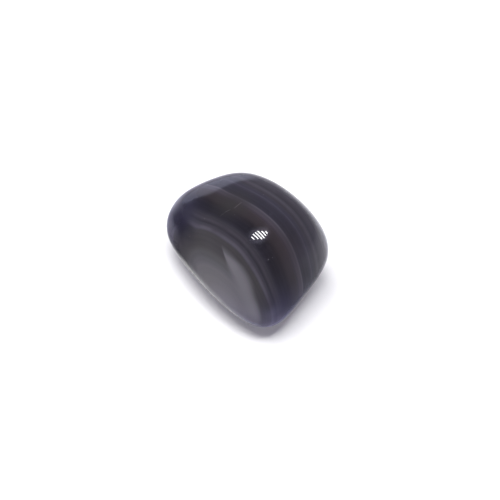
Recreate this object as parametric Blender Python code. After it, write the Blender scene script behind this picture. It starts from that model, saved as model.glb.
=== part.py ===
"""Banded onyx, one tumbled stone 28 mm long.

The stone began as a rough chip of layered onyx. Tumbling wore the chip's faces smooth and rounded every
corner between them, and the model is described in the same way: by the worn faces, each with its heading,
its tilt and its distance from the heart of the stone, and by how sharp the corners between them still are.
A small flat spot is ground on the underside, where the stone rests.

+X runs along the length of the stone and +Z is up. The origin is under the middle of the stone, on the
surface that it rests on. The driving dimensions are in millimetres and degrees, and the model is in metres.
"""

import math
from typing import NamedTuple

import bmesh
import bpy
from mathutils import Vector

MM = 0.001


class WornFace(NamedTuple):
    """One face of the chip: where it looks, and how far it is from the heart of the stone."""

    heading: float  # degrees from +X towards +Y
    tilt: float  # degrees up from level
    reach: float  # mm


# The faces of the chip, from the sides to the shoulders above and below them
WORN_FACES = {
    "front": WornFace(-106, 17, 10.2),
    "right_end": WornFace(3, 23, 11.2),
    "back": WornFace(92, 15, 10.25),
    "left_end": WornFace(158, 0, 13.25),
    "top": WornFace(135, 86, 8.65),
    "underside": WornFace(0, -90, 9.1),
    "front_shoulder": WornFace(-72, 29, 9.4),
    "right_shoulder": WornFace(20, 54, 10.7),
    "left_shoulder": WornFace(-174, 65, 10.6),
    "front_keel": WornFace(-95, -43, 11.75),
    "right_keel": WornFace(22, -40, 13.1),
    "back_keel": WornFace(102, -38, 10.65),
}
CORNER_SHARPNESS = 4.5  # 2 would be a ball, and 20 a chip with crisp edges
FLAT_SPOT_DEPTH = 0.08  # mm, how much is ground off under the stone

# The skin is a cube's six sides, each this many patches across, drawn in onto the stone
PATCHES_ACROSS = 24

STONE_COLOUR = (0.048, 0.044, 0.052, 1.0)
STONE_ROUGHNESS = 0.08
STONE_REFRACTION = 1.54


def clear_scene():
    """Remove every object of the scene."""
    for item in list(bpy.data.objects):
        bpy.data.objects.remove(item, do_unlink=True)


def outward(face):
    """The direction that a worn face looks in, as a unit vector."""
    heading = math.radians(face.heading)
    tilt = math.radians(face.tilt)
    level = math.cos(tilt)
    return Vector((level * math.cos(heading), level * math.sin(heading), math.sin(tilt)))


def stone_radius(direction, faces):
    """How far the surface is from the heart of the stone, in mm, along a unit direction.

    Each face in front of the heart cuts the direction off at its own distance. Adding up the faces'
    shares with a high power keeps the flats nearly flat, and runs them together at the corners.
    """
    total = 0.0
    for normal, reach in faces:
        share = direction.dot(normal) / reach
        if share > 0:
            total += share**CORNER_SHARPNESS
    return total ** (-1 / CORNER_SHARPNESS)


def evened(position):
    """A patch corner from -1 to 1 across a cube's side, moved so that patches get equal angles."""
    return math.tan(position * math.pi / 4)


def add_rounded_stone(bm):
    """Draw a cube's evenly divided skin in onto the rounded chip."""
    bmesh.ops.create_cube(bm, size=2)
    bmesh.ops.subdivide_edges(bm, edges=bm.edges[:], cuts=PATCHES_ACROSS - 1, use_grid_fill=True)
    faces = [(outward(face), face.reach) for face in WORN_FACES.values()]
    for vertex in bm.verts:
        direction = Vector([evened(position) for position in vertex.co]).normalized()
        vertex.co = direction * stone_radius(direction, faces) * MM


def grind_flat_spot(bm):
    """Cut the lowest part of the stone off level, and close the cut with one flat face."""
    lowest = min(vertex.co.z for vertex in bm.verts)
    cut = bmesh.ops.bisect_plane(
        bm,
        geom=bm.verts[:] + bm.edges[:] + bm.faces[:],
        dist=1e-7,
        plane_co=(0, 0, lowest + FLAT_SPOT_DEPTH * MM),
        plane_no=(0, 0, -1),
        clear_outer=True,
    )
    rim = [part for part in cut["geom_cut"] if isinstance(part, bmesh.types.BMEdge)]
    bmesh.ops.contextual_create(bm, geom=rim)


def stand_on_origin(bm):
    """Move the stone so that the origin is under its middle, where it rests."""
    low = [min(vertex.co[axis] for vertex in bm.verts) for axis in range(3)]
    high = [max(vertex.co[axis] for vertex in bm.verts) for axis in range(3)]
    middle = Vector(((low[0] + high[0]) / 2, (low[1] + high[1]) / 2, low[2]))
    bmesh.ops.translate(bm, verts=bm.verts[:], vec=-middle)


def polished_stone():
    """The dark, polished finish of the stone."""
    material = bpy.data.materials.new("polished_onyx")
    material.use_nodes = True
    shader = material.node_tree.nodes["Principled BSDF"]
    shader.inputs["Base Color"].default_value = STONE_COLOUR
    shader.inputs["Roughness"].default_value = STONE_ROUGHNESS
    shader.inputs["Metallic"].default_value = 0.0
    shader.inputs["IOR"].default_value = STONE_REFRACTION
    return material


def make_stone():
    """Make the stone as one object, smooth all over but for the rim of its flat spot."""
    bm = bmesh.new()
    add_rounded_stone(bm)
    grind_flat_spot(bm)
    stand_on_origin(bm)
    bmesh.ops.recalc_face_normals(bm, faces=bm.faces[:])
    mesh = bpy.data.meshes.new("onyx_stone")
    bm.to_mesh(mesh)
    bm.free()
    mesh.shade_smooth()
    mesh.set_sharp_from_angle(angle=math.radians(30))
    mesh.materials.append(polished_stone())
    stone = bpy.data.objects.new("onyx_stone", mesh)
    bpy.context.scene.collection.objects.link(stone)
    return stone


clear_scene()
make_stone()
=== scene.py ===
"""Banded onyx: one tumbled stone with its polished finish, on a pale studio floor.

The stone is a rough chip of layered onyx whose faces and corners tumbling wore round. Its fine skin is
drawn in from a divided cube by the same rule as the solid that it stands for, and then gets what wear
leaves on a real one: a faint unevenness, a few small chips, and a flat spot to rest on. Its colours are
layers through the whole stone, so they meet the surface wherever the surface cuts them.

Lengths are in millimetres and angles in degrees, and places in the stone are given from its heart, the
point that the worn faces are measured from. The model itself is in metres.
"""

import logging
import math
from dataclasses import dataclass, field
from enum import Enum
from typing import Union

import bmesh
import bpy
import numpy as np
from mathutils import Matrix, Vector, noise


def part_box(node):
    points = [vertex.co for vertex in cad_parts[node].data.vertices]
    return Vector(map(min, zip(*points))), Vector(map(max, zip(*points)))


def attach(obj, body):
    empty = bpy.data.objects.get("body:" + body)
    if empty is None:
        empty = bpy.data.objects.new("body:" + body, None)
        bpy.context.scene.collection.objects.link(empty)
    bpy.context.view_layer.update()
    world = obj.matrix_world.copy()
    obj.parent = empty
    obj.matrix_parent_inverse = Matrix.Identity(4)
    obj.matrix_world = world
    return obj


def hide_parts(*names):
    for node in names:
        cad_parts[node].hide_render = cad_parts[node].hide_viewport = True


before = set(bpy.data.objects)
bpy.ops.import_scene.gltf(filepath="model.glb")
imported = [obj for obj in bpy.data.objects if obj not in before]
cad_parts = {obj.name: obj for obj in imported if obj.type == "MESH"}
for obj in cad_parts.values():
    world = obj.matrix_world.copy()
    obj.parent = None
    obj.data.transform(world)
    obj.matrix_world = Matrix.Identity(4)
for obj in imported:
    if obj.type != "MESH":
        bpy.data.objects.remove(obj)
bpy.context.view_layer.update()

MM = 0.001
STONE_NODE = "onyx_stone"
log = logging.getLogger("banded_onyx")

Triple = tuple[float, float, float]
Span = tuple[float, float]  # where a smooth step starts and where it ends
Socket = bpy.types.NodeSocket
Value = Union[float, Socket]


def bearing(heading: float, tilt: float) -> Vector:
    """Turn a heading and a tilt into a direction.

    Args:
        heading: Degrees from +X towards +Y.
        tilt: Degrees up from level.

    Returns:
        The direction, one unit long.
    """
    level = math.cos(math.radians(tilt))
    turn = math.radians(heading)
    return Vector((level * math.cos(turn), level * math.sin(turn), math.sin(math.radians(tilt))))


class Tint(Enum):
    """The hues in this stone, as linear red, green and blue that average one."""

    VIOLET = (0.93, 0.85, 1.22)
    # Used only for painted shade, at the left end and the lower right.
    BLUE = (0.80, 0.70, 1.50)
    MAUVE = (1.03, 0.86, 1.11)
    UMBER = (1.10, 0.88, 1.02)
    OLIVE = (1.04, 0.96, 1.00)
    ASH = (0.98, 0.89, 1.13)
    PEARL = (1.00, 0.95, 1.05)

    def shaded(self, shade: float) -> Triple:
        """Give the tint's colour at a brightness from 0 to 1."""
        red, green, blue = self.value
        return (red * shade, green * shade, blue * shade)


@dataclass(frozen=True)
class Layer:
    """The colour at one depth in the stone. Between two depths the colour runs from one to the next."""

    depth: float
    tint: Tint
    shade: float


@dataclass(frozen=True)
class Seam:
    """A thin, crisp line between two layers, which comes and goes along its length."""

    depth: float
    half_width: float
    tint: Tint
    shade: float
    strength: float


@dataclass(frozen=True)
class Stroke:
    """One stroke of the healed crack: its two ends in the surface, and how pale it is."""

    start: Triple
    end: Triple
    strength: float


@dataclass(frozen=True)
class Sheet:
    """A flat boundary inside the stone: where it looks, and its depth behind the heart that way."""

    heading: float
    tilt: float
    depth: float


@dataclass(frozen=True)
class CloudAndShade:
    """A soft, round patch of another colour: the olive and umber ones are the stone's own, the blue ones
    are painted shade.

    A strength above 1 gives it a wider middle of the pure colour.
    """

    centre: Triple
    radius: float
    tint: Tint
    shade: float
    strength: float


@dataclass(frozen=True)
class GlintSpeck:
    """A painted glint where a small chip catches the light: where it is, its radius, and how pale it is,
    from 0 to 1.
    """

    place: Triple
    radius: float
    strength: float


@dataclass(frozen=True)
class WornFace:
    """One face of the chip: where it looks, and how far it is from the heart of the stone."""

    heading: float
    tilt: float
    reach: float


@dataclass(frozen=True)
class Chip:
    """A small shell-shaped chip: which way it lies from the heart, its radius and its depth."""

    towards: Triple
    radius: float
    depth: float


class Wiring:
    """Adds shader nodes to one node tree and joins them."""

    def __init__(self, tree: bpy.types.NodeTree) -> None:
        """Keep the tree that the nodes go into.

        Args:
            tree: The node tree of a material or a world.
        """
        self.tree = tree

    def add(self, kind: str, inputs: dict, **settings: object) -> bpy.types.Node:
        """Add one node.

        Args:
            kind: The node's type in Blender.
            inputs: A number, colour, vector or output for each of its sockets, by name or number.
            **settings: The node's own settings.

        Returns:
            The new node.
        """
        node = self.tree.nodes.new(kind)
        for name, value in settings.items():
            setattr(node, name, value)
        for name, value in inputs.items():
            if isinstance(value, bpy.types.NodeSocket):
                self.tree.links.new(value, node.inputs[name])
            else:
                node.inputs[name].default_value = value
        return node

    def maths(self, operation: str, *values: Value, clamp: bool = False) -> Socket:
        """Work out a number from one to three others.

        Args:
            operation: The Math node's operation.
            *values: Numbers or outputs.
            clamp: Whether the result is kept from 0 to 1.

        Returns:
            The result.
        """
        node = self.add("ShaderNodeMath", dict(enumerate(values)), operation=operation, use_clamp=clamp)
        return node.outputs[0]

    def vector(self, operation: str, *values: object, **inputs: Value) -> bpy.types.Node:
        """Add a Vector Math node.

        Args:
            operation: The node's operation.
            *values: Vectors or outputs.
            **inputs: Its other sockets.

        Returns:
            The node, whose output 0 is a vector and output 1 a number.
        """
        return self.add("ShaderNodeVectorMath", {**dict(enumerate(values)), **inputs}, operation=operation)

    def ease(self, value: Value, low: float, high: float) -> Socket:
        """Turn a value that runs from low to high into a smooth step from 0 to 1.

        Args:
            value: The value to turn.
            low: Where the step starts.
            high: Where the step ends, which may be below low.

        Returns:
            The step.
        """
        if low < high:
            inputs = {"Value": value, "From Min": low, "From Max": high}
        else:
            inputs = {"Value": value, "From Min": high, "From Max": low, "To Min": 1.0, "To Max": 0.0}
        node = self.add("ShaderNodeMapRange", inputs, interpolation_type="SMOOTHSTEP")
        return node.outputs["Result"]

    def blend(self, share: Value, first: Socket, second: Union[Triple, Socket]) -> Socket:
        """Mix a second colour into a first.

        Args:
            share: How much of the second colour there is, from 0 to 1.
            first: The first colour.
            second: The second colour.

        Returns:
            The mixed colour.
        """
        node = self.tree.nodes.new("ShaderNodeMix")
        node.data_type = "RGBA"
        factor, colour_a, colour_b = (
            next(socket for socket in node.inputs if socket.name == name and socket.enabled)
            for name in ("Factor", "A", "B")
        )
        if isinstance(share, bpy.types.NodeSocket):
            self.tree.links.new(share, factor)
        else:
            factor.default_value = share
        self.tree.links.new(first, colour_a)
        if isinstance(second, bpy.types.NodeSocket):
            self.tree.links.new(second, colour_b)
        else:
            colour_b.default_value = (*second, 1.0)
        return next(socket for socket in node.outputs if socket.enabled)

    def ripple(self, place: Value, scale: float, detail: float, along: str = "3D") -> Socket:
        """Add smooth noise.

        Args:
            place: The coordinates that it reads, or the one number for noise along a line.
            scale: Its waves per unit of those coordinates.
            detail: How many finer octaves it has.
            along: "3D", or "1D" for noise along a line.

        Returns:
            Its value, which is about 0.5 on average.
        """
        inputs = {"W" if along == "1D" else "Vector": place, "Scale": scale, "Detail": detail}
        return self.add("ShaderNodeTexNoise", inputs, noise_dimensions=along).outputs["Fac"]

    def ramp(self, value: Socket, stops: list[tuple[float, Triple]]) -> Socket:
        """Turn a number into a colour.

        Args:
            value: The number, from 0 to 1.
            stops: Positions from 0 to 1, in order, and the colour at each.

        Returns:
            The colour.
        """
        node = self.add("ShaderNodeValToRGB", {"Fac": value})
        elements = node.color_ramp.elements
        elements.remove(elements[1])
        elements[0].position, elements[0].color = stops[0][0], (*stops[0][1], 1.0)
        for position, colour in stops[1:]:
            elements.new(position).color = (*colour, 1.0)
        return node.outputs["Color"]


@dataclass(frozen=True)
class OnyxFinish:
    """The layered, polished look of the stone.

    A layer's depth is how far it lies behind the heart of the stone, looking from the pale side.
    Scales are in waves, or cells, per millimetre.
    """

    pale_heading: float = -85.0
    pale_tilt: float = 9.5
    layers: tuple[Layer, ...] = (
        Layer(-9.7, Tint.PEARL, 0.150),
        Layer(-9.1, Tint.PEARL, 0.126),
        Layer(-8.7, Tint.PEARL, 0.088),
        Layer(-8.4, Tint.OLIVE, 0.057),
        Layer(-7.8, Tint.OLIVE, 0.045),
        Layer(-7.4, Tint.OLIVE, 0.048),
        Layer(-7.2, Tint.ASH, 0.062),
        Layer(-6.95, Tint.ASH, 0.056),
        Layer(-6.7, Tint.ASH, 0.038),
        Layer(-6.5, Tint.ASH, 0.036),
        Layer(-6.2, Tint.ASH, 0.042),
        Layer(-5.9, Tint.ASH, 0.036),
        Layer(-5.55, Tint.VIOLET, 0.022),
        Layer(-5.1, Tint.VIOLET, 0.016),
        Layer(-4.6, Tint.VIOLET, 0.014),
        Layer(-3.9, Tint.MAUVE, 0.016),
        Layer(-3.3, Tint.UMBER, 0.024),
        Layer(-2.2, Tint.UMBER, 0.031),
        Layer(-1.9, Tint.MAUVE, 0.037),
        Layer(-1.5, Tint.MAUVE, 0.047),
        Layer(-0.9, Tint.ASH, 0.056),
        Layer(-0.65, Tint.VIOLET, 0.028),
        Layer(0.8, Tint.VIOLET, 0.028),
        Layer(1.45, Tint.VIOLET, 0.043),
        Layer(1.9, Tint.VIOLET, 0.037),
        Layer(2.4, Tint.ASH, 0.038),
        Layer(2.9, Tint.ASH, 0.048),
        Layer(3.3, Tint.ASH, 0.049),
        Layer(3.55, Tint.ASH, 0.034),
        Layer(4.6, Tint.ASH, 0.042),
        Layer(6.0, Tint.PEARL, 0.055),
        Layer(8.5, Tint.PEARL, 0.045),
    )
    seams: tuple[Seam, ...] = (
        Seam(-7.12, 0.26, Tint.ASH, 0.086, 1.0),
        Seam(-6.62, 0.12, Tint.VIOLET, 0.022, 0.4),
        Seam(-6.30, 0.18, Tint.ASH, 0.052, 0.8),
        Seam(-5.88, 0.10, Tint.ASH, 0.042, 0.5),
        Seam(-0.93, 0.17, Tint.ASH, 0.072, 1.0),
        Seam(1.52, 0.14, Tint.VIOLET, 0.060, 0.8),
        Seam(3.10, 0.14, Tint.ASH, 0.060, 0.8),
        Seam(5.10, 0.16, Tint.VIOLET, 0.030, 0.6),
        Seam(6.40, 0.22, Tint.ASH, 0.074, 0.7),
        Seam(7.30, 0.20, Tint.VIOLET, 0.030, 0.7),
        Seam(8.40, 0.28, Tint.ASH, 0.066, 0.8),
    )
    deepest: float = 12.0
    wander: float = 0.12
    wander_scale: float = 0.14
    end_bend: float = 0.4
    end_span: Span = (-4.5, -8.0)
    seam_scale: float = 0.35
    seam_span: Span = (0.15, 0.5)
    fine_scale: float = 2.2
    fine_contrast: float = 0.5
    # The lens is partly the stone's own pale layer and partly a painted reflection.
    lens_and_reflection_shade: float = 0.156
    lens_front: Sheet = Sheet(-147, -36, 0.3)
    lens_front_edge: Span = (-0.12, 0.2)
    lens_softening: float = 5.0
    lens_soft_span: Span = (4.3, 1.0)
    lens_back: Sheet = Sheet(-85.2, 12.8, -8.04)
    lens_back_edge: Span = (0.34, -0.34)
    lens_low_bend: float = 0.25
    lens_low_span: Span = (3.0, -0.5)
    lens_high_bend: float = 0.15
    lens_high_span: Span = (3.6, 4.6)
    clouds_and_shade: tuple[CloudAndShade, ...] = (
        # The two blue patches at the left end are painted shade, darker and bluer where the left face gets
        # less light.
        CloudAndShade((-9.0, -6.4, 3.2), 6.3, Tint.BLUE, 0.020, 0.95),
        CloudAndShade((-10.2, -5.8, 3.4), 4.4, Tint.BLUE, 0.018, 1.5),
        # Painted shade at the lower right, where the shadowed floor shows in the polish.
        CloudAndShade((12.0, -5.0, -2.5), 6.0, Tint.BLUE, 0.030, 0.7),
        # The olive and umber patches are the stone's own colour.
        CloudAndShade((-2.6, -1.3, 7.7), 4.8, Tint.OLIVE, 0.030, 0.75),
        CloudAndShade((8.5, 0.0, 4.4), 6.0, Tint.UMBER, 0.036, 0.45),
    )
    # Pale flecks painted as glints where small chips catch the light.
    glint_shade: float = 0.22
    glint_specks: tuple[GlintSpeck, ...] = (
        GlintSpeck((7.79, -3.76, 4.93), 0.16, 0.5),
        GlintSpeck((7.99, -3.11, 5.02), 0.12, 0.25),
        GlintSpeck((-5.72, -8.05, 2.49), 0.14, 0.5),
        GlintSpeck((-4.44, -5.78, 6.05), 0.13, 0.35),
        GlintSpeck((-0.62, -2.89, 7.79), 0.10, 0.35),
        GlintSpeck((-0.58, 3.37, 7.73), 0.12, 0.3),
    )
    crack_shade: float = 0.14
    crack_width: float = 0.09
    crack_roughness: float = 0.2
    crack: tuple[Stroke, ...] = (
        Stroke((-1.69, -0.37, 7.89), (-1.62, -1.95, 7.83), 0.5),
        Stroke((-1.92, -2.62, 7.72), (-2.20, -3.43, 7.53), 0.35),
        Stroke((-2.20, -3.60, 7.48), (-2.32, -4.35, 7.22), 0.15),
    )
    pit_scale: float = 0.35
    pit_radius: float = 0.11
    pit_depth: float = 0.012
    pit_shade: float = 0.12
    pit_strength: float = 0.5
    pit_roughness: float = 0.3
    polish_waves: float = 0.0008
    polish_scale: float = 1.6
    roughness: float = 0.02
    worn_roughness: float = 0.05
    worn_scale: float = 0.9

    def depth_behind(self, wiring: Wiring, place: Socket, sheet: Sheet) -> Socket:
        """Work out how far a point lies behind a boundary inside the stone.

        Args:
            wiring: Where the nodes go.
            place: The point, from the heart.
            sheet: The boundary.

        Returns:
            The distance, which is negative in front of the boundary.
        """
        behind = wiring.vector("DOT_PRODUCT", place, -bearing(sheet.heading, sheet.tilt)).outputs[1]
        return wiring.maths("SUBTRACT", behind, sheet.depth)

    def layered(self, wiring: Wiring, place: Socket) -> Socket:
        """Colour a point by the layer that it lies in.

        The layers wander a little, and bend at the left end of the stone.

        Args:
            wiring: Where the nodes go.
            place: The point, from the heart.

        Returns:
            The colour.
        """
        plain = self.depth_behind(wiring, place, Sheet(self.pale_heading, self.pale_tilt, 0.0))
        drift = wiring.ripple(place, self.wander_scale, 2.0)
        depth = wiring.maths("MULTIPLY_ADD", drift, 2 * self.wander, plain)
        depth = wiring.maths("SUBTRACT", depth, self.wander)
        across = wiring.add("ShaderNodeSeparateXYZ", {0: place}).outputs["X"]
        bend = wiring.ease(across, *self.end_span)
        depth = wiring.maths("MULTIPLY_ADD", bend, -self.end_bend, depth)
        share = wiring.maths("MULTIPLY_ADD", depth, 0.5 / self.deepest, 0.5)
        stops = [(0.5 + 0.5 * at.depth / self.deepest, at.tint.shaded(at.shade)) for at in self.layers]
        colour = wiring.ramp(share, stops)
        coming = wiring.ease(wiring.ripple(place, self.seam_scale, 1.0), *self.seam_span)
        for seam in self.seams:
            apart = wiring.maths("ABSOLUTE", wiring.maths("SUBTRACT", depth, seam.depth))
            share = wiring.maths("MULTIPLY", wiring.ease(apart, seam.half_width, 0.0), seam.strength)
            share = wiring.maths("MULTIPLY", share, coming)
            colour = wiring.blend(share, colour, seam.tint.shaded(seam.shade))
        fine = wiring.ripple(depth, self.fine_scale, 3.0, along="1D")
        strength = wiring.maths("MULTIPLY_ADD", fine, self.fine_contrast, 1 - self.fine_contrast / 2)
        return wiring.vector("SCALE", colour, Scale=strength).outputs[0]

    def with_lens_and_reflection(self, wiring: Wiring, place: Socket, colour: Socket) -> Socket:
        """Add the pale lens that pinches out in the front face, partly the stone's own pale layer and
        partly a painted reflection.

        Lower down its near edge is softer, and towards both ends its far edge bends in.

        Args:
            wiring: Where the nodes go.
            place: The point, from the heart.
            colour: The colour without the lens.

        Returns:
            The colour with it.
        """
        rise = wiring.add("ShaderNodeSeparateXYZ", {0: place}).outputs["Z"]
        low = wiring.ease(rise, *self.lens_soft_span)
        softness = wiring.maths("MULTIPLY_ADD", low, self.lens_softening, 1.0)
        front = wiring.maths("DIVIDE", self.depth_behind(wiring, place, self.lens_front), softness)
        bend = wiring.maths("MULTIPLY", wiring.ease(rise, *self.lens_low_span), self.lens_low_bend)
        high = wiring.ease(rise, *self.lens_high_span)
        bend = wiring.maths("MULTIPLY_ADD", high, self.lens_high_bend, bend)
        back = wiring.maths("ADD", self.depth_behind(wiring, place, self.lens_back), bend)
        past_front = wiring.ease(front, *self.lens_front_edge)
        before_back = wiring.ease(back, *self.lens_back_edge)
        inside = wiring.maths("MULTIPLY", past_front, before_back)
        return wiring.blend(inside, colour, Tint.PEARL.shaded(self.lens_and_reflection_shade))

    def with_clouds_and_shade(self, wiring: Wiring, place: Socket, colour: Socket) -> Socket:
        """Mix in the patches: the stone's own olive and umber, and the blue painted shade.

        Args:
            wiring: Where the nodes go.
            place: The point, from the heart.
            colour: The colour without the clouds.

        Returns:
            The colour with them.
        """
        for tinted_patch in self.clouds_and_shade:
            apart = wiring.vector("DISTANCE", place, tinted_patch.centre).outputs[1]
            share = wiring.maths("MULTIPLY", wiring.ease(apart, tinted_patch.radius, 0.0), tinted_patch.strength)
            colour = wiring.blend(share, colour, tinted_patch.tint.shaded(tinted_patch.shade))
        return colour

    def crack_mask(self, wiring: Wiring, place: Socket) -> Socket:
        """Find the healed hairline crack.

        Args:
            wiring: Where the nodes go.
            place: The point, from the heart.

        Returns:
            How pale the crack is there, from 0 to 1.
        """
        total = 0.0
        for stroke in self.crack:
            run = Vector(stroke.end) - Vector(stroke.start)
            offset = wiring.vector("SUBTRACT", place, stroke.start).outputs[0]
            along = wiring.vector("DOT_PRODUCT", offset, run / run.length_squared).outputs[1]
            along = wiring.maths("ADD", along, 0.0, clamp=True)
            foot = wiring.vector("SCALE", run, Scale=along).outputs[0]
            apart = wiring.vector("DISTANCE", offset, foot).outputs[1]
            share = wiring.ease(apart, self.crack_width, 0.0)
            total = wiring.maths("MULTIPLY_ADD", share, stroke.strength, total)
        return total

    def glint_mask(self, wiring: Wiring, place: Socket) -> Socket:
        """Find the painted glints where small chips catch the light.

        Args:
            wiring: Where the nodes go.
            place: The point, from the heart.

        Returns:
            How pale the point is, from 0 to 1.
        """
        total = 0.0
        for glint in self.glint_specks:
            apart = wiring.vector("DISTANCE", place, glint.place).outputs[1]
            share = wiring.ease(apart, glint.radius, 0.0)
            total = wiring.maths("MULTIPLY_ADD", share, glint.strength, total)
        return total

    def pit_mask(self, wiring: Wiring, place: Socket) -> Socket:
        """Find the few tiny pits that the polishing hasn't reached.

        Args:
            wiring: Where the nodes go.
            place: The point, from the heart.

        Returns:
            How deep the point is in a pit, from 0 to 1.
        """
        cells = wiring.add("ShaderNodeTexVoronoi", {"Vector": place, "Scale": self.pit_scale})
        return wiring.ease(cells.outputs["Distance"], self.pit_radius * self.pit_scale, 0.0)

    def polished_normal(self, wiring: Wiring, place: Socket, pits: Socket) -> Socket:
        """Tilt the surface by its faint waves and its pits.

        Args:
            wiring: Where the nodes go.
            place: The point, from the heart.
            pits: How deep the point is in a pit.

        Returns:
            The normal.
        """
        waves = wiring.maths("MULTIPLY", wiring.ripple(place, self.polish_scale, 3.0), self.polish_waves)
        height = wiring.maths("MULTIPLY_ADD", pits, -self.pit_depth, waves)
        return wiring.add("ShaderNodeBump", {"Height": height, "Distance": MM}).outputs["Normal"]

    def make(self, heart: Vector) -> bpy.types.Material:
        """Make the stone's material.

        Args:
            heart: Where the heart of the stone is, in metres.

        Returns:
            The material.
        """
        material = bpy.data.materials.new("polished_banded_onyx")
        material.use_nodes = True
        material.node_tree.nodes.clear()
        wiring = Wiring(material.node_tree)
        spot = wiring.add("ShaderNodeTexCoord", {}).outputs["Object"]
        offset = wiring.vector("SUBTRACT", spot, heart).outputs[0]
        place = wiring.vector("SCALE", offset, Scale=1 / MM).outputs[0]
        colour = self.layered(wiring, place)
        # The stone's own olive and umber patches, and blue painted shade.
        colour = self.with_clouds_and_shade(wiring, place, colour)
        # The pale lens, partly the stone's own layer and partly a painted reflection.
        colour = self.with_lens_and_reflection(wiring, place, colour)
        crack = self.crack_mask(wiring, place)
        colour = wiring.blend(crack, colour, Tint.OLIVE.shaded(self.crack_shade))
        # Painted glints where small chips catch the light.
        glint_specks = self.glint_mask(wiring, place)
        colour = wiring.blend(glint_specks, colour, Tint.PEARL.shaded(self.glint_shade))
        pits = self.pit_mask(wiring, place)
        pale_pits = wiring.maths("MULTIPLY", pits, self.pit_strength)
        colour = wiring.blend(pale_pits, colour, Tint.ASH.shaded(self.pit_shade))
        worn = wiring.ripple(place, self.worn_scale, 3.0)
        roughness = wiring.maths("MULTIPLY_ADD", worn, self.worn_roughness, self.roughness)
        roughness = wiring.maths("MULTIPLY_ADD", crack, self.crack_roughness, roughness)
        roughness = wiring.maths("MULTIPLY_ADD", pits, self.pit_roughness, roughness)
        shader = wiring.add(
            "ShaderNodeBsdfPrincipled",
            {
                "Base Color": colour,
                "Roughness": roughness,
                "Normal": self.polished_normal(wiring, place, pits),
                "IOR": 1.54,
                "Metallic": 0.0,
                "Subsurface Weight": 0.35,
                "Subsurface Radius": (1.0, 0.85, 1.0),
                "Subsurface Scale": 0.9 * MM,
            },
        )
        wiring.add("ShaderNodeOutputMaterial", {"Surface": shader.outputs[0]})
        return material


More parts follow.
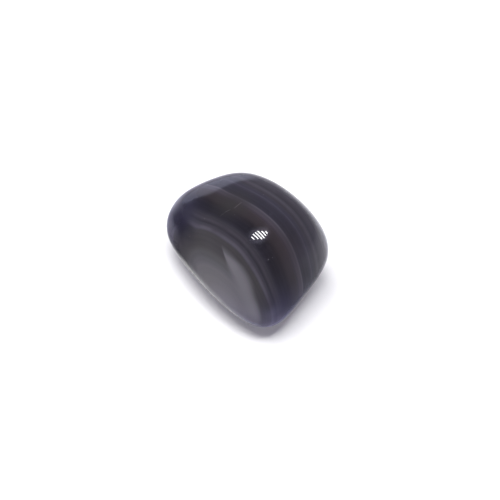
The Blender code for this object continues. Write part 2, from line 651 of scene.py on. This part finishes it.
@dataclass
class TumbledStone:
    """The one stone, with its worn faces, its chips and its finish."""

    faces: tuple[WornFace, ...] = (
        WornFace(-106, 17, 10.2),
        WornFace(3, 23, 11.2),
        WornFace(92, 15, 10.25),
        WornFace(158, 0, 13.25),
        WornFace(135, 86, 8.65),
        WornFace(0, -90, 9.1),
        WornFace(-72, 29, 9.4),
        WornFace(20, 54, 10.7),
        WornFace(-174, 65, 10.6),
        WornFace(-95, -43, 11.75),
        WornFace(22, -40, 13.1),
        WornFace(102, -38, 10.65),
    )
    corner_sharpness: float = 4.5
    unevenness: float = 0.02
    unevenness_scale: float = 2.5
    flat_spot_depth: float = 0.08
    patches_across: int = 120
    chip_margin: float = 1.3
    chip_cuts: int = 4
    chips: tuple[Chip, ...] = (
        Chip((-4.44, -9.24, -4.28), 0.35, 0.07),
        Chip((-5.72, -8.05, 2.49), 0.22, 0.04),
        Chip((7.79, -3.76, 4.93), 0.2, 0.03),
    )
    finish: OnyxFinish = field(default_factory=OnyxFinish)

    def radius(self, direction: Vector) -> float:
        """Work out how far the polished surface is from the heart, before any chips.

        Args:
            direction: A unit direction from the heart.

        Returns:
            The distance.
        """
        total = 0.0
        for normal, reach in self.aims:
            share = direction.dot(normal) / reach
            if share > 0:
                total += share**self.corner_sharpness
        plain = total ** (-1 / self.corner_sharpness)
        return plain - self.unevenness * (1.0 + noise.noise(direction * self.unevenness_scale))

    def chip_depth(self, place: Vector) -> float:
        """Work out how deep the chips go below a point of the polished surface.

        Args:
            place: The point, from the heart.

        Returns:
            The depth, which is 0 away from the chips.
        """
        deepest = 0.0
        for middle, chip in self.chip_middles:
            share = (place - middle).length / chip.radius
            if share < 1:
                deepest = max(deepest, chip.depth * (1 - share**2))
        return deepest

    def draw_in(self, vertices: list[bmesh.types.BMVert]) -> None:
        """Draw points in, or push them out, onto the rounded chip, with its heart at the origin.

        Args:
            vertices: The points, whose directions from the origin are kept.
        """
        for vertex in vertices:
            direction = vertex.co.normalized()
            place = direction * self.radius(direction)
            place -= direction * self.chip_depth(place)
            vertex.co = place * MM

    def refine_chips(self, bm: bmesh.types.BMesh) -> None:
        """Divide the skin finely round the chips, and sink them.

        Args:
            bm: The stone's mesh.
        """
        for middle, chip in self.chip_middles:
            reach = chip.radius * self.chip_margin
            near = [
                edge
                for edge in bm.edges
                if any((vertex.co / MM - middle).length < reach for vertex in edge.verts)
            ]
            divided = bmesh.ops.subdivide_edges(bm, edges=near, cuts=self.chip_cuts, use_grid_fill=True)
            added = [part for part in divided["geom_inner"] if isinstance(part, bmesh.types.BMVert)]
            corners = [vertex for edge in near if edge.is_valid for vertex in edge.verts]
            self.draw_in(list(set(added + corners)))

    def grind_flat_spot(self, bm: bmesh.types.BMesh) -> None:
        """Cut the lowest part off level, and close the cut.

        Args:
            bm: The stone's mesh.
        """
        lowest = min(vertex.co.z for vertex in bm.verts)
        cut = bmesh.ops.bisect_plane(
            bm,
            geom=bm.verts[:] + bm.edges[:] + bm.faces[:],
            dist=1e-7,
            plane_co=(0, 0, lowest + self.flat_spot_depth * MM),
            plane_no=(0, 0, -1),
            clear_outer=True,
        )
        rim = [part for part in cut["geom_cut"] if isinstance(part, bmesh.types.BMEdge)]
        bmesh.ops.contextual_create(bm, geom=rim)

    def settle(self, bm: bmesh.types.BMesh) -> Vector:
        """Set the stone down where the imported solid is.

        Args:
            bm: The stone's mesh, with its heart at the origin.

        Returns:
            Where the heart of the stone ends up.
        """
        places = np.array([vertex.co for vertex in bm.verts])
        low, high = Vector(places.min(axis=0)), Vector(places.max(axis=0))
        cad_low, cad_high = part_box(STONE_NODE)
        heart = (cad_low + cad_high) / 2 - (low + high) / 2
        heart.z = cad_low.z - low.z
        bmesh.ops.translate(bm, verts=bm.verts[:], vec=heart)
        return heart

    def build(self) -> bpy.types.Object:
        """Model the stone and give it its finish.

        Returns:
            The finished piece.
        """
        self.aims = [(bearing(face.heading, face.tilt), face.reach) for face in self.faces]
        self.chip_middles = []
        for chip in self.chips:
            direction = Vector(chip.towards).normalized()
            self.chip_middles.append((direction * self.radius(direction), chip))
        bm = bmesh.new()
        bmesh.ops.create_cube(bm, size=2)
        bmesh.ops.subdivide_edges(bm, edges=bm.edges[:], cuts=self.patches_across - 1, use_grid_fill=True)
        for vertex in bm.verts:
            vertex.co = [math.tan(position * math.pi / 4) for position in vertex.co]
        self.draw_in(bm.verts[:])
        self.refine_chips(bm)
        self.grind_flat_spot(bm)
        heart = self.settle(bm)
        bmesh.ops.recalc_face_normals(bm, faces=bm.faces[:])
        mesh = bpy.data.meshes.new("tumbled_onyx")
        bm.to_mesh(mesh)
        bm.free()
        mesh.shade_smooth()
        mesh.materials.append(self.finish.make(heart))
        stone = bpy.data.objects.new("tumbled_onyx", mesh)
        bpy.context.scene.collection.objects.link(stone)
        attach(stone, "root")
        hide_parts(STONE_NODE)
        return stone


@dataclass(frozen=True)
class Tube:
    """One lit tube of the lamp: how far along +Y it hangs, its middle along +X, and its length."""

    across: float
    middle: float
    length: float


@dataclass(frozen=True)
class TablePatch:
    """A round patch of the table: its middle, how far it is pure, how far it fades, and its colour."""

    middle: Triple
    pure: float
    faded: float
    colour: Triple


@dataclass
class Studio:
    """The pale floor, the soft light and the camera, and what shows in the stone's polish."""

    floor_size: float = 3000.0
    floor_shade: float = 0.82
    floor_glow: float = 0.15
    glow_tint: Triple = (1.0, 0.955, 1.06)
    sweep_start: float = 70.0
    sweep_faded: float = 280.0
    sweep_reach: float = 1300.0
    sweep_bend: float = 130.0
    sweep_lift: float = 0.02
    sweep_steps: int = 12
    sweep_sides: int = 96
    room_tint: Triple = (0.90, 0.88, 1.15)
    room_light: float = 0.14
    horizon_light: float = 0.26
    horizon_span: Span = (0.5, 0.0)
    table_lift: float = 0.01
    table_blue: Triple = (-0.08, -0.12, 0.35)
    table_near_span: Span = (120.0, 20.0)
    table_near: float = 0.6
    table_far: float = 0.62
    table_glow: float = 0.35
    far_glow: float = 0.3
    far_span: Span = (20.0, 200.0)
    table_patches: tuple[TablePatch, ...] = (
        TablePatch((-24.0, -9.0, 0.0), 1.0, 11.0, (0.34, 0.33, 0.44)),
        TablePatch((-8.0, 9.0, 0.0), 13.0, 20.0, (0.82, 0.82, 0.82)),
        TablePatch((0.0, 0.0, 0.0), 11.0, 16.0, (0.82, 0.82, 0.82)),
    )
    table_shades: tuple[Triple, ...] = (  # heading, shade, and how blue it is
        (-180, 0.62, 0.4),
        (-170, 0.42, 0.5),
        (-158, 0.12, 0.8),
        (-140, 0.05, 0.8),
        (-119, 0.20, 0.2),
        (-104, 0.32, 0.0),
        (-60, 0.46, 0.8),
        (-20, 0.58, 1.0),
        (5, 0.24, 0.8),
        (30, 0.24, 0.2),
        (46, 0.52, 0.2),
        (61, 0.80, 0.2),
        (80, 0.86, 0.2),
        (106, 0.66, 0.2),
        (122, 0.48, 0.2),
        (166, 0.42, 0.5),
        (180, 0.62, 0.4),
    )
    tubes: tuple[Tube, ...] = (
        Tube(-73, 40, 33),
        Tube(-30, 45, 62),
        Tube(4, 56, 88),
        Tube(37, 59, 92),
        Tube(69, 65, 62),
        Tube(99, 71, 32),
    )
    tube_width: float = 13.0
    tube_height: float = 300.0
    tube_light: float = 32.0  # the brightness of its face, where 1 shows as white
    shade_middle: Triple = (57.0, 10.0, 301.0)
    shade_half_length: float = 96.0
    shade_half_width: float = 176.0
    shade_span: Span = (1.0, 0.45)
    softbox_heading: float = -164.0
    softbox_tilt: float = 75.0
    softbox_away: float = 300.0
    softbox_size: float = 218.0
    softbox_light: float = 6.9
    window_away: float = 150.0
    window_heading: float = 160.0
    window_width: float = 80.0
    window_middle: float = 45.0
    window_height: float = 86.0
    window_top: float = 42.0
    window_hump: float = 32.0
    window_hump_width: float = 32.0
    window_top_edge: float = 10.0
    window_side_edge: Span = (0.62, 0.38)  # in radians
    window_colour: Triple = (0.90, 0.92, 1.20)
    camera_heading: float = -44.0
    camera_tilt: float = 50.0
    camera_distance: float = 134.4
    camera_aim: Triple = (2.77, -1.67, 8.77)
    camera_lens: float = 60.0

    def show_only_in_reflections(self, item: bpy.types.Object) -> None:
        """Keep a thing out of everything but the reflections in the stone."""
        for kind in ("camera", "diffuse", "transmission", "volume_scatter", "shadow"):
            setattr(item, "visible_" + kind, False)

    def stand(self, name: str, bm: bmesh.types.BMesh, material: bpy.types.Material) -> bpy.types.Object:
        """Make a thing of the studio, which isn't part of the object.

        Args:
            name: Its name.
            bm: Its mesh, which is used up.
            material: Its finish.

        Returns:
            The new object.
        """
        mesh = bpy.data.meshes.new(name)
        bm.to_mesh(mesh)
        bm.free()
        mesh.materials.append(material)
        item = bpy.data.objects.new(name, mesh)
        bpy.context.scene.collection.objects.link(item)
        return item

    def floor(self) -> None:
        """Lay the floor under the stone, faintly lit from below."""
        bm = bmesh.new()
        bmesh.ops.create_grid(bm, x_segments=1, y_segments=1, size=self.floor_size / 2 * MM)
        material = bpy.data.materials.new("pale_floor")
        material.use_nodes = True
        shader = material.node_tree.nodes["Principled BSDF"]
        shader.inputs["Base Color"].default_value = (self.floor_shade,) * 3 + (1.0,)
        shader.inputs["Roughness"].default_value = 0.9
        shader.inputs["Specular IOR Level"].default_value = 0.2
        shader.inputs["Emission Color"].default_value = (*self.glow_tint, 1.0)
        shader.inputs["Emission Strength"].default_value = self.floor_glow
        self.stand("studio_floor", bm, material).visible_glossy = False

    def sweep(self) -> None:
        """Carry the floor's white far out and up behind it, for the camera alone."""
        bm = bmesh.new()
        corner = self.sweep_reach - self.sweep_bend
        profile = [(self.sweep_start, self.sweep_lift)]
        for step in range(self.sweep_steps + 1):
            turn = math.pi / 2 * step / self.sweep_steps
            rise = self.sweep_bend * (1 - math.cos(turn))
            profile.append((corner + self.sweep_bend * math.sin(turn), self.sweep_lift + rise))
        profile.append((self.sweep_reach, self.sweep_reach))
        points = [bm.verts.new((across * MM, 0, rise * MM)) for across, rise in profile]
        edges = [bm.edges.new(pair) for pair in zip(points, points[1:])]
        bmesh.ops.spin(
            bm,
            geom=points + edges,
            cent=(0, 0, 0),
            axis=(0, 0, 1),
            angle=math.tau,
            steps=self.sweep_sides,
            use_merge=True,
        )
        material = bpy.data.materials.new("white_sweep")
        material.use_nodes = True
        material.node_tree.nodes.clear()
        wiring = Wiring(material.node_tree)
        spot = wiring.add("ShaderNodeTexCoord", {}).outputs["Object"]
        away = wiring.vector("LENGTH", spot).outputs[1]
        share = wiring.ease(away, self.sweep_start * MM, self.sweep_faded * MM)
        white = wiring.add("ShaderNodeEmission", {})
        clear = wiring.add("ShaderNodeBsdfTransparent", {})
        mixed = wiring.add("ShaderNodeMixShader", {0: share, 1: clear.outputs[0], 2: white.outputs[0]})
        wiring.add("ShaderNodeOutputMaterial", {"Surface": mixed.outputs[0]})
        sweep = self.stand("studio_sweep", bm, material)
        for kind in ("diffuse", "glossy", "transmission", "volume_scatter", "shadow"):
            setattr(sweep, "visible_" + kind, False)

    def table(self) -> None:
        """Lay the table that shows in the stone's polish, darker to the left than behind."""
        bm = bmesh.new()
        bmesh.ops.create_grid(bm, x_segments=1, y_segments=1, size=self.floor_size / 2 * MM)
        material = bpy.data.materials.new("table_in_reflections")
        material.use_nodes = True
        material.node_tree.nodes.clear()
        wiring = Wiring(material.node_tree)
        spot = wiring.add("ShaderNodeTexCoord", {}).outputs["Object"]
        parts = wiring.add("ShaderNodeSeparateXYZ", {0: spot})
        angle = wiring.maths("ARCTAN2", parts.outputs["Y"], parts.outputs["X"])
        share = wiring.maths("MULTIPLY_ADD", angle, 0.5 / math.pi, 0.5)
        stops = []
        for heading, shade, blueness in self.table_shades:
            colour = tuple(shade * (1 + blue * blueness) for blue in self.table_blue)
            stops.append((0.5 + heading / 360, colour))
        colour = wiring.ramp(share, stops)
        away = wiring.maths("DIVIDE", wiring.vector("LENGTH", spot).outputs[1], MM)
        near = wiring.ease(away, *self.table_near_span)
        fading = wiring.maths("MULTIPLY_ADD", near, self.table_near, self.table_far)
        colour = wiring.vector("SCALE", colour, Scale=fading).outputs[0]
        for patch in self.table_patches:
            aside = wiring.vector("DISTANCE", spot, Vector(patch.middle) * MM).outputs[1]
            share = wiring.ease(aside, patch.faded * MM, patch.pure * MM)
            colour = wiring.blend(share, colour, patch.colour)
        matt = wiring.add("ShaderNodeBsdfDiffuse", {"Color": colour})
        far = wiring.maths("MULTIPLY", wiring.ease(away, *self.far_span), self.far_glow)
        haze = wiring.vector("SCALE", self.room_tint, Scale=far).outputs[0]
        glow = wiring.vector("SCALE", colour, Scale=self.table_glow).outputs[0]
        glow = wiring.vector("ADD", glow, haze).outputs[0]
        lit = wiring.add("ShaderNodeEmission", {"Color": glow})
        both = wiring.add("ShaderNodeAddShader", {0: matt.outputs[0], 1: lit.outputs[0]})
        wiring.add("ShaderNodeOutputMaterial", {"Surface": both.outputs[0]})
        table = self.stand("table_in_reflections", bm, material)
        table.location.z = self.table_lift * MM
        self.show_only_in_reflections(table)

    def window(self) -> None:
        """Stand up the bright window that shows in the polish, low behind the stone, soft at its edges."""
        bm = bmesh.new()
        bmesh.ops.create_grid(bm, x_segments=24, y_segments=1, size=0.5)
        for vertex in bm.verts:
            heading = self.window_heading + self.window_width * vertex.co.x
            foot = bearing(heading, 0) * self.window_away
            rise = self.window_middle + self.window_height * vertex.co.y
            vertex.co = (foot.x * MM, foot.y * MM, rise * MM)
        material = bpy.data.materials.new("window_light")
        material.use_nodes = True
        material.node_tree.nodes.clear()
        wiring = Wiring(material.node_tree)
        spot = wiring.add("ShaderNodeTexCoord", {}).outputs["Object"]
        parts = wiring.add("ShaderNodeSeparateXYZ", {0: spot})
        flipped = [wiring.maths("MULTIPLY", parts.outputs[axis], -1.0) for axis in "YX"]
        angle = wiring.maths("ARCTAN2", *flipped)
        middle = math.radians(180 - self.window_heading)
        aside = wiring.maths("ABSOLUTE", wiring.maths("ADD", angle, middle))
        hump = wiring.ease(aside, math.radians(self.window_hump_width), 0.0)
        top = wiring.maths("MULTIPLY_ADD", hump, self.window_hump * MM, self.window_top * MM)
        height = wiring.maths("SUBTRACT", parts.outputs["Z"], top)
        below_top = wiring.ease(height, self.window_top_edge * MM, -self.window_top_edge * MM)
        share = wiring.maths("MULTIPLY", below_top, wiring.ease(aside, *self.window_side_edge))
        lit = wiring.add("ShaderNodeEmission", {"Color": (*self.window_colour, 1.0), "Strength": share})
        clear = wiring.add("ShaderNodeBsdfTransparent", {})
        mixed = wiring.add("ShaderNodeMixShader", {0: share, 1: clear.outputs[0], 2: lit.outputs[0]})
        wiring.add("ShaderNodeOutputMaterial", {"Surface": mixed.outputs[0]})
        self.show_only_in_reflections(self.stand("window_in_reflections", bm, material))

    def room(self) -> None:
        """Fill the room with a dim light, a little brighter towards the horizon."""
        world = bpy.data.worlds.new("studio_room")
        world.use_nodes = True
        wiring = Wiring(world.node_tree)
        spot = wiring.add("ShaderNodeTexCoord", {}).outputs["Generated"]
        rise = wiring.add("ShaderNodeSeparateXYZ", {0: spot}).outputs["Z"]
        low = wiring.ease(rise, *self.horizon_span)
        strength = wiring.maths("MULTIPLY_ADD", low, self.horizon_light, self.room_light)
        background = world.node_tree.nodes["Background"]
        background.inputs["Color"].default_value = (*self.room_tint, 1.0)
        world.node_tree.links.new(strength, background.inputs["Strength"])
        bpy.context.scene.world = world

    def lamp(self) -> None:
        """Hang the lamp's tubes above the stone."""
        for number, tube in enumerate(self.tubes, 1):
            data = bpy.data.lights.new(f"lamp_tube_{number}", "AREA")
            data.shape = "RECTANGLE"
            data.size = tube.length * MM
            data.size_y = self.tube_width * MM
            data.energy = self.tube_light * math.pi * data.size * data.size_y
            lamp = bpy.data.objects.new(data.name, data)
            lamp.location = (tube.middle * MM, tube.across * MM, self.tube_height * MM)
            bpy.context.scene.collection.objects.link(lamp)

    def lamp_shade(self) -> None:
        """Hang the lamp's dim shade over its tubes, which fades out and shows only in the polish."""
        bm = bmesh.new()
        bmesh.ops.create_grid(bm, x_segments=1, y_segments=1, size=1.0)
        reach = Vector((self.shade_half_length, self.shade_half_width, 1.0)) * MM
        middle = Vector(self.shade_middle) * MM
        bmesh.ops.scale(bm, verts=bm.verts[:], vec=reach)
        bmesh.ops.translate(bm, verts=bm.verts[:], vec=middle)
        material = bpy.data.materials.new("lamp_shade")
        material.use_nodes = True
        material.node_tree.nodes.clear()
        wiring = Wiring(material.node_tree)
        spot = wiring.add("ShaderNodeTexCoord", {}).outputs["Object"]
        offset = wiring.vector("SUBTRACT", spot, middle).outputs[0]
        away = wiring.vector("LENGTH", wiring.vector("DIVIDE", offset, reach).outputs[0]).outputs[1]
        share = wiring.ease(away, *self.shade_span)
        lit = wiring.add("ShaderNodeEmission", {"Color": (*self.room_tint, 1.0), "Strength": share})
        clear = wiring.add("ShaderNodeBsdfTransparent", {})
        both = wiring.add("ShaderNodeAddShader", {0: clear.outputs[0], 1: lit.outputs[0]})
        wiring.add("ShaderNodeOutputMaterial", {"Surface": both.outputs[0]})
        self.show_only_in_reflections(self.stand("lamp_shade", bm, material))

    def softbox(self) -> None:
        """Hang a broad soft light above the stone, which doesn't show in its polish."""
        data = bpy.data.lights.new("softbox", "AREA")
        data.shape = "DISK"
        data.size = self.softbox_size * MM
        data.energy = self.softbox_light * math.pi * math.pi * (data.size / 2) ** 2
        softbox = bpy.data.objects.new("softbox", data)
        back = bearing(self.softbox_heading, self.softbox_tilt)
        softbox.location = back * self.softbox_away * MM
        softbox.rotation_mode = "QUATERNION"
        softbox.rotation_quaternion = back.to_track_quat("Z", "Y")
        softbox.visible_glossy = False
        bpy.context.scene.collection.objects.link(softbox)

    def camera(self) -> None:
        """Set up the camera at the photograph's viewing angle."""
        data = bpy.data.cameras.new("camera")
        data.lens = self.camera_lens
        data.clip_start = 1 * MM
        camera = bpy.data.objects.new("camera", data)
        back = bearing(self.camera_heading, self.camera_tilt)
        camera.location = (Vector(self.camera_aim) + back * self.camera_distance) * MM
        camera.rotation_mode = "QUATERNION"
        camera.rotation_quaternion = back.to_track_quat("Z", "Y")
        bpy.context.scene.collection.objects.link(camera)
        bpy.context.scene.camera = camera

    def build(self) -> None:
        """Set up everything round the stone."""
        self.floor()
        self.sweep()
        self.table()
        self.window()
        self.room()
        self.lamp()
        self.lamp_shade()
        self.softbox()
        self.camera()
        settings = bpy.context.scene.view_settings
        settings.view_transform = "Standard"
        settings.look = "None"


def main() -> None:
    """Build the stone and its studio."""
    logging.basicConfig(level=logging.INFO)
    stone = TumbledStone().build()
    log.info("stone: %s, %d faces", stone.name, len(stone.data.polygons))
    Studio().build()
    log.info("studio: floor, lamp and camera")


if __name__ == "__main__":
    main()
